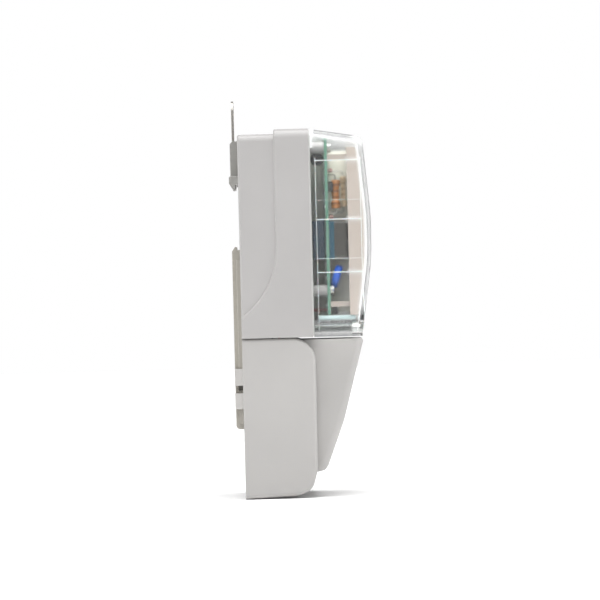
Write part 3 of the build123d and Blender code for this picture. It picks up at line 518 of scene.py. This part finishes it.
def banded_lacquer(name, colour, shade, bands, centre, spacing_mm, count, half_mm=1000.0):
    """Lacquer with darker rings across the rod, which is half_mm long each way from its
    middle, and bright tinned wire beyond its ends."""
    material, tree, shader = start_material(name, 0.3, ior=1.5)
    shader.inputs["Coat Weight"].default_value = 0.3
    shader.inputs["Coat Roughness"].default_value = 0.15
    place = add(tree, "SeparateXYZ", None, {0: add(tree, "TexCoord").outputs["Object"]})
    along = add(tree, "Math", {"operation": "SUBTRACT"}, {0: place.outputs["Z"], 1: centre})
    steps = add(tree, "Math", {"operation": "DIVIDE"}, {0: along.outputs[0], 1: spacing_mm * MM})
    saw = add(tree, "Math", {"operation": "PINGPONG"}, {0: steps.outputs[0], 1: 0.5}).outputs[0]
    ring = add(tree, "Math", {"operation": "GREATER_THAN"}, {0: saw, 1: 0.34}).outputs[0]
    size = add(tree, "Math", {"operation": "ABSOLUTE"}, {0: steps.outputs[0]}).outputs[0]
    inside = add(tree, "Math", {"operation": "LESS_THAN"}, {0: size, 1: count / 2}).outputs[0]
    shown = add(tree, "Math", {"operation": "MULTIPLY"}, {0: ring, 1: inside}).outputs[0]
    tone = spread(tree, grain(tree, 2.0, 3.0), 0.0, 1.0)
    lacquer = blend_colours(tree, tone, linear(colour), linear(shade))
    skin = blend_colours(tree, shown, lacquer, linear(bands))
    away = add(tree, "Math", {"operation": "ABSOLUTE"}, {0: along.outputs[0]}).outputs[0]
    wire = add(tree, "Math", {"operation": "GREATER_THAN"},
               {0: away, 1: half_mm * MM}).outputs[0]
    skin = blend_colours(tree, wire, skin, linear("#B9B7AF"))
    tree.links.new(wire, shader.inputs["Metallic"])
    tree.links.new(skin, shader.inputs["Base Color"])
    relief = {"Height": grain(tree, 0.8), "Distance": 0.03 * MM, "Strength": 0.5}
    tree.links.new(add(tree, "Bump", None, relief).outputs["Normal"], shader.inputs["Normal"])
    return material


def middle(name):
    """The centre of a CAD node's box."""
    low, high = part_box(name)
    return (low + high) / 2


finish(
    banded_lacquer("lacquer_orange_banded", "#D29058", "#C68347", "#8F5426",
                   middle("dropper_resistor").z, 3.4, 4, 7.8),
    "dropper_resistor",
)
finish(
    banded_lacquer("lacquer_tan_banded", "#E9CDA8", "#DDBE97", "#B38D60",
                   middle("bleed_resistor").z, 3.0, 4, 8.3),
    "bleed_resistor",
)
finish(
    banded_lacquer("lacquer_pink_banded", "#D9B0A8", "#CFA39B", "#8C5A50", 0.0, 1.4, 1000),
    "film_resistors",
)

# ---- Varistor ---------------------------------------------------------------------------
# A zinc-oxide disc dipped in blue epoxy powder. The coat is thick, round at the rim and
# faintly orange-peeled.


def dipped_epoxy(name, colour, shade, peel_mm=1.2, roughness=0.28):
    """A glossy thick coat whose orange peel has dimples peel_mm across."""
    material, tree, shader = start_material(name, roughness, ior=1.55)
    shader.inputs["Coat Weight"].default_value = 0.4
    shader.inputs["Coat Roughness"].default_value = 0.1
    tone = spread(tree, grain(tree, 4.0), 0.0, 1.0)
    skin = blend_colours(tree, tone, linear(colour), linear(shade))
    tree.links.new(skin, shader.inputs["Base Color"])
    relief = {"Height": grain(tree, peel_mm, 2.0), "Distance": 0.06 * MM, "Strength": 0.5}
    tree.links.new(add(tree, "Bump", None, relief).outputs["Normal"], shader.inputs["Normal"])
    return material


finish(dipped_epoxy("epoxy_dipped_blue", "#1C72F4", "#1462DC"), "varistor")

# ---- Boxed capacitors and chips ---------------------------------------------------------
# The film capacitor is a potted flame-retardant box in dark blue. The reservoir
# capacitor is an aluminium can in a shrunk sleeve. Chips are transfer-moulded epoxy.

finish(dipped_epoxy("pbt_box_dark_blue", "#012E44", "#012438", 2.0, 0.6), "film_capacitor")
finish(dipped_epoxy("pet_sleeve_charcoal", "#3A3B40", "#2E2F34", 3.0, 0.25), "reservoir_capacitor")
finish(
    moulded_plastic("epoxy_moulded_black", "#2A2A29", "#232322", "#4A4A48", 0.5, 0.6),
    "metering_chips", "optocoupler", "rectifier", "led_holder",
)
finish(plated_steel("nickel_drawn_can", "#C9C9C6", "#A9A9A5", 0.8, 0.2), "crystal")
finish(dipped_epoxy("epoxy_tinted_red", "#C01F16", "#A31710", 5.0, 0.12), "pulse_led")

# ---- Nameplate carrier ------------------------------------------------------------------
# A bowed carrier moulded in off-white ABS and screen printed on its face. Its side
# flanges close the gap to the clear cover, and two webs behind it stiffen it.

panel_plastic = moulded_plastic(
    "abs_moulded_off_white", "#BCB1A9", "#B5A99F", "#DDD5CE", 1.0, 0.5)


def printed_box(tree, place, left, right, low, high):
    """1 inside a box on the panel's face and 0 outside it, from sizes in millimetres."""
    height = (low + high) / 2 - RAIL_CENTRE
    inside = [
        add(tree, "Math", {"operation": "COMPARE"},
            {0: place.outputs[axis], 1: centre * MM, 2: half * MM}).outputs[0]
        for axis, centre, half in (("X", (left + right) / 2, (right - left) / 2),
                                   ("Z", height, (high - low) / 2))
    ]
    return add(tree, "Math", {"operation": "MULTIPLY"}, {0: inside[0], 1: inside[1]}).outputs[0]


def screen_print(material):
    """Dark ink on the face: rules, an empty table, a wiring sketch and a bar pattern."""
    tree = material.node_tree
    shader = tree.nodes["Principled BSDF"]
    place = add(tree, "SeparateXYZ", None, {0: add(tree, "TexCoord").outputs["Object"]})
    bars = [(-49, 49, 178.6, 179.3), (-49, 49, 104.0, 104.4)]
    bars += [(-49, 8, row, row + 0.35) for row in (108.0, 113.0, 118.0, 123.0)]
    bars += [(column, column + 0.35, 108.0, 123.3) for column in (-49.0, -24.0, 7.65)]
    bars += [(18, 49, row, row + 0.35) for row in (108.0, 123.0)]
    bars += [(column, column + 0.35, 108.0, 123.3) for column in (18.0, 48.65)]
    bars += [(28, 39, row, row + 0.5) for row in (112.5, 119.0)]
    bars += [(column, column + 0.5, 104.4, 119.5) for column in (24.0, 28.0, 38.5, 42.5)]
    ink = printed_box(tree, place, *bars[0])
    for bar in bars[1:]:
        ink = add(tree, "Math", {"operation": "MAXIMUM"},
                  {0: ink, 1: printed_box(tree, place, *bar)}).outputs[0]
    code = add(tree, "TexNoise", {"noise_dimensions": "1D"},
               {"W": place.outputs["X"], "Scale": 1 / (1.6 * MM), "Detail": 2.0}).outputs["Fac"]
    code = add(tree, "Math", {"operation": "GREATER_THAN"}, {0: code, 1: 0.5}).outputs[0]
    code = add(tree, "Math", {"operation": "MULTIPLY"},
               {0: code, 1: printed_box(tree, place, -49, -20, 166.0, 174.0)}).outputs[0]
    ink = add(tree, "Math", {"operation": "MAXIMUM"}, {0: ink, 1: code}).outputs[0]
    face = add(tree, "Math", {"operation": "LESS_THAN"}, {0: place.outputs["Y"], 1: -0.0605})
    ink = add(tree, "Math", {"operation": "MULTIPLY"}, {0: ink, 1: face.outputs[0]}).outputs[0]
    plastic = shader.inputs["Base Color"].links[0].from_socket
    tree.links.new(blend_colours(tree, ink, plastic, linear("#2E3338")),
                   shader.inputs["Base Color"])
    return material


finish(screen_print(panel_plastic), "front_panel")

# ---- Register bezel ---------------------------------------------------------------------
# A charcoal polycarbonate frame snapped into the window of the carrier, with a bevelled
# lip all round that hides the window's cut edge.

bezel = box_piece((-24.4, -68.25, 131.7 - RAIL_CENTRE), (23.7, -66.7, 145.5 - RAIL_CENTRE))
bpy.ops.object.mode_set(mode="EDIT")
bpy.ops.mesh.select_mode(type="FACE")
bpy.ops.mesh.select_all(action="DESELECT")
bpy.ops.object.mode_set(mode="OBJECT")
for face in bezel.data.polygons:
    face.select = abs(face.normal.y) > 0.9
bpy.ops.object.mode_set(mode="EDIT")
bpy.ops.mesh.inset(thickness=2.5 * MM, use_boundary=True)
bpy.ops.mesh.bridge_edge_loops()
bpy.ops.mesh.select_all(action="SELECT")
bpy.ops.mesh.normals_make_consistent(inside=False)
bpy.ops.mesh.bevel(offset=0.35 * MM, segments=2)
bpy.ops.object.mode_set(mode="OBJECT")
bpy.ops.object.shade_smooth_by_angle(angle=radians(35))
bezel_charcoal = moulded_plastic("pc_moulded_slate", "#3B3D3F", "#343638", "#5C5F62", 0.8, 0.4)
settle(bezel, "register_bezel", bezel_charcoal, "housing")

webs = [
    box_piece((-28.0, -62.6, 149.8 - RAIL_CENTRE), (-26.8, -49.0, 188.0 - RAIL_CENTRE), 0.2),
    box_piece((-28.0, -61.8, 100.0 - RAIL_CENTRE), (-26.8, -49.0, 129.2 - RAIL_CENTRE), 0.2),
]
web_abs = moulded_plastic(
    "abs_moulded_warm_white", "#FFFBF2", "#FAF4E6", "#FFFDF8", 1.0, 0.55)
settle(join(webs), "panel_webs", web_abs, "housing")

# ---- Register ---------------------------------------------------------------------------
# Black acetal digit drums in a dark tray, natural acetal pinions and gears, a copper
# coil on a laminated stator, and a blue snap-on plate that carries the lot.

finish(
    moulded_plastic("pc_moulded_charcoal", "#4A4740", "#403D37", "#65625B", 0.8, 0.5),
    "register_frame", "register_cheek",
)
finish(
    moulded_plastic("pbt_moulded_teal_blue", "#0A5A74", "#084E66", "#2F7C94", 0.8, 0.45),
    "register_base",
)
finish(
    moulded_plastic("acetal_moulded_natural", "#E9E7E0", "#DFDCD3", "#F6F5F1", 0.8, 0.35),
    "idler_gear", "motor_rotor", *[f"carry_pinion_{number}" for number in range(1, 6)],
)
finish(
    moulded_plastic("acetal_moulded_black", "#1E1E1E", "#191919", "#3B3B3B", 0.8, 0.35),
    *[f"digit_drum_{number}" for number in range(2, 7)],
)
finish(
    moulded_plastic("acetal_moulded_red", "#A8241C", "#981D16", "#C6564E", 0.8, 0.35),
    "digit_drum_1",
)
finish(plated_steel("stator_steel_stamped", "#8E8F90", "#757678", 0.5, 0.4), "motor_stator")


def wound_copper():
    """Enamelled wire in close turns, one turn every 0.4 mm across the coil."""
    material, tree, shader = start_material("copper_wire_enamelled", 0.25, metallic=1.0)
    place = add(tree, "TexCoord").outputs["Object"]
    turns = add(tree, "TexWave", {"bands_direction": "Y", "wave_profile": "SIN"},
                {"Vector": place, "Scale": 0.314 / (0.4 * MM), "Distortion": 0.3})
    skin = blend_colours(tree, turns.outputs["Fac"], linear("#7A3A1E"), linear("#C56B3C"))
    tree.links.new(skin, shader.inputs["Base Color"])
    relief = {"Height": turns.outputs["Fac"], "Distance": 0.1 * MM, "Strength": 0.6}
    tree.links.new(add(tree, "Bump", None, relief).outputs["Normal"], shader.inputs["Normal"])
    return material


finish(wound_copper(), "motor_coil")

DIGIT_SIZE = 4.6 * MM
DIGIT_PROUD = 0.03 * MM
DIGIT_NARROWED = 0.8
DIGIT_FROM_RIGHT = (1.15 + 2.2) * MM  # the side gear's width and half of the printed rim
SHOWN = {1: 4, 2: 7, 3: 0, 4: 3, 5: 1, 6: 0}


def printed_white():
    """Thin ink, a little worn where the drums have turned."""
    material, tree, shader = start_material("ink_pad_printed_white", 0.5, ior=1.5)
    worn = spread(tree, grain(tree, 0.6, 3.0), 0.0, 1.0)
    skin = blend_colours(tree, worn, linear("#F4F3EF"), linear("#DEDDD8"))
    tree.links.new(skin, shader.inputs["Base Color"])
    return material


white_ink = printed_white()


def drum_digits(number):
    """Ten figures pad printed round a drum's rim, each curved to it."""
    name = f"digit_drum_{number}"
    low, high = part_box(name)
    axis_y, axis_z = (low.y + high.y) / 2, (low.z + high.z) / 2
    rim = (high.z - low.z) / 2 + DIGIT_PROUD
    rim_middle = high.x - DIGIT_FROM_RIGHT
    figures = []
    for figure in range(10):
        bpy.ops.object.text_add(location=(0, 0, 0))
        text = bpy.context.object
        text.data.body = str(figure)
        text.data.size = DIGIT_SIZE
        text.data.align_x = "CENTER"
        text.data.align_y = "CENTER"
        text.data.resolution_u = 6
        bpy.ops.object.convert(target="MESH")
        turned = radians(36 * (figure - SHOWN[number]))
        for vertex in text.data.vertices:
            angle = turned - vertex.co.y / rim
            vertex.co = (rim_middle + vertex.co.x * DIGIT_NARROWED, axis_y - rim * cos(angle),
                         axis_z - rim * sin(angle))
        text.select_set(False)
        figures.append(text)
    for text in figures:
        text.select_set(True)
    bpy.context.view_layer.objects.active = figures[0]
    bpy.ops.object.join()
    settle(bpy.context.object, f"drum_{number}_figures", white_ink, f"drum_{number}")


for number in range(1, 7):
    drum_digits(number)

# ---- Terminal block ---------------------------------------------------------------------
# Black phenolic, compression moulded, which is harder and glossier than the covers. It
# holds four brass bars, their clamp screws, the shunt and the neutral link.

finish(
    moulded_plastic("phenolic_moulded_black", "#2C2B2A", "#242322", "#504E4B", 1.4, 0.35),
    "terminal_block",
)
finish(
    moulded_plastic("polyamide_moulded_green", "#2F7A4A", "#296D41", "#5C9B72", 0.8, 0.45),
    "pulse_terminal",
)


def machined_brass(name, colour, dull):
    """Bar stock with saw lines across it, 0.7 mm apart so that they show."""
    material, tree, shader = start_material(name, 0.24, metallic=1.0)
    sawn = grain(tree, 0.7, 3.0, (0.1, 1.0, 1.0))
    skin = blend_colours(tree, spread(tree, sawn, 0.0, 1.0), linear(colour), linear(dull))
    tree.links.new(skin, shader.inputs["Base Color"])
    tree.links.new(spread(tree, sawn, 0.18, 0.36), shader.inputs["Roughness"])
    relief = {"Height": sawn, "Distance": 0.02 * MM, "Strength": 0.5}
    tree.links.new(add(tree, "Bump", None, relief).outputs["Normal"], shader.inputs["Normal"])
    return material


finish(machined_brass("brass_drawn_sawn", "#CDAA5C", "#B08F48"), "brass_terminals", "neutral_link")
finish(machined_brass("copper_strip_rolled", "#C47F55", "#A76741"), "shunt")

# ---- Leads ------------------------------------------------------------------------------
# Stranded wire in extruded PVC, soft and semi-gloss, from the terminals to the board.


def pvc_sleeve(name, colour, shade):
    """Soft semi-gloss insulation."""
    material, tree, shader = start_material(name, 0.35, ior=1.53)
    tone = spread(tree, grain(tree, 3.0), 0.0, 1.0)
    skin = blend_colours(tree, tone, linear(colour), linear(shade))
    tree.links.new(skin, shader.inputs["Base Color"])
    relief = {"Height": grain(tree, 0.5), "Distance": 0.02 * MM, "Strength": 0.3}
    tree.links.new(add(tree, "Bump", None, relief).outputs["Normal"], shader.inputs["Normal"])
    return material


finish(pvc_sleeve("pvc_extruded_red", "#B3221C", "#9E1C17"), "shunt_leads", "motor_leads")
finish(pvc_sleeve("pvc_extruded_blue", "#1E3F9A", "#19347F"), "neutral_lead")
finish(pvc_sleeve("pvc_extruded_black", "#232323", "#1B1B1B"), "pulse_leads")

# ---- Studio -----------------------------------------------------------------------------
# White paper under the meter, a broad lamp overhead, a weaker one on the left side, soft
# fills in front and behind, and a long lens level with the meter.

FLOOR_SIZE = 12.0
FLOOR_GAP = 0.0002
foot = cad_box[0][2]

bpy.ops.mesh.primitive_plane_add(size=FLOOR_SIZE, location=(0, 0, foot - FLOOR_GAP))
floor = bpy.context.object
floor.name = "studio_floor"
floor_material, floor_tree, floor_shader = start_material("paper_matt_white", 0.9)
floor_tone = blend_colours(
    floor_tree, grain(floor_tree, 300.0), linear("#FAFAFA"), linear("#F6F6F6"))
floor_tree.links.new(floor_tone, floor_shader.inputs["Base Color"])
floor.data.materials.append(floor_material)
floor.select_set(False)

scene = bpy.context.scene
scene.view_settings.view_transform = "Standard"
world = bpy.data.worlds.new("studio")
scene.world = world
world.use_nodes = True
# The backdrop is seen at full white, and the room around the meter lights it more softly
room = world.node_tree.nodes["Background"]
room.inputs["Color"].default_value = (1, 1, 1, 1)
seen = add(world.node_tree, "LightPath").outputs["Is Camera Ray"]
ROOM_LIGHT, BACKDROP_LIGHT = 0.26, 1.0
level = {"Value": seen, "To Min": ROOM_LIGHT, "To Max": BACKDROP_LIGHT}
level = add(world.node_tree, "MapRange", None, level).outputs["Result"]
world.node_tree.links.new(level, room.inputs["Strength"])


def lamp(name, kind, place, aim, spread_size, power):
    """A sun, whose spread is an angle, or a square lamp, whose spread is its side."""
    data = bpy.data.lights.new(name, kind)
    data.energy = power
    if kind == "SUN":
        data.angle = spread_size
    else:
        data.size = spread_size
    light = bpy.data.objects.new(name, data)
    scene.collection.objects.link(light)
    light.location = place
    light.rotation_euler = (Vector(aim) - Vector(place)).to_track_quat("-Z", "Y").to_euler()
    return light


AIM = (0, -0.03, 0)
lamp("overhead_lamp", "SUN", (-0.2, -0.1, 1.5), AIM, radians(50), 3.7)
lamp("side_lamp", "SUN", (-1.0, 0.1, 0.75), AIM, radians(20), 0.6)
lamp("back_lamp", "AREA", (-0.25, 1.1, 0.15), AIM, 0.8, 4.0)
lamp("front_lamp", "AREA", (-0.25, -1.1, 0.15), AIM, 0.8, 4.0)

VIEW_HEIGHT = -0.0462
VIEW_DEPTH = -0.0320
DISTANCE = 3.2
FRAME_WIDTH = 0.331  # metres across the frame at the meter
LEAN = radians(1.46)  # the camera is rolled by this much, so that the back leans

camera_data = bpy.data.cameras.new("camera")
camera = bpy.data.objects.new("camera", camera_data)
scene.collection.objects.link(camera)
camera_data.sensor_width = 36.0
camera_data.lens = 36.0 * DISTANCE / FRAME_WIDTH
camera_data.clip_end = 50.0
across = Vector((0, -cos(LEAN), -sin(LEAN)))
upward = Vector((0, -sin(LEAN), cos(LEAN)))
back = across.cross(upward)
turn = Matrix((across, upward, back)).transposed().to_4x4()
camera.matrix_world = Matrix.Translation((-DISTANCE, VIEW_DEPTH, VIEW_HEIGHT)) @ turn
scene.camera = camera
